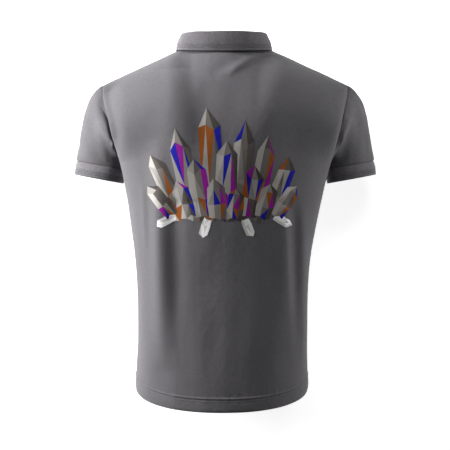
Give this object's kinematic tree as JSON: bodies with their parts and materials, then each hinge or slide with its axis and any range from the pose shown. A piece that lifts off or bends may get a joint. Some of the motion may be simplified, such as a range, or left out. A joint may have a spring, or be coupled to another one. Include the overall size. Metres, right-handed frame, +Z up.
{
  "type": "polo shirt",
  "caption": "Short-sleeved polo shirt with a knitted collar and cuffs, lying face down, its back printed with a faceted pattern.",
  "frame": {"origin": "middle of the underside of the shirt's box, on the surface that the shirt lies on", "axes": "+Y from the hem to the neck, +Z up out of the back, and the wearer's left side at -X"},
  "size_m": [0.6146, 0.7502, 0.2166],
  "materials": {
    "pique": "matte cotton pique knit, steel grey",
    "rib": "matte flat rib knit, steel grey",
    "tape": "matte woven herringbone tape, dark grey",
    "button": "satin dark grey polyester resin"
  },
  "bodies": {
    "root": {"back_panel": "pique", "front_panel": "pique", "left_sleeve": "pique", "right_sleeve": "pique", "left_cuff": "rib", "right_cuff": "rib", "collar": "rib", "neck_tape": "tape", "placket_top": "pique", "placket_under": "pique", "button_1": "button", "button_2": "button", "button_3": "button"}
  },
  "joints": []
}
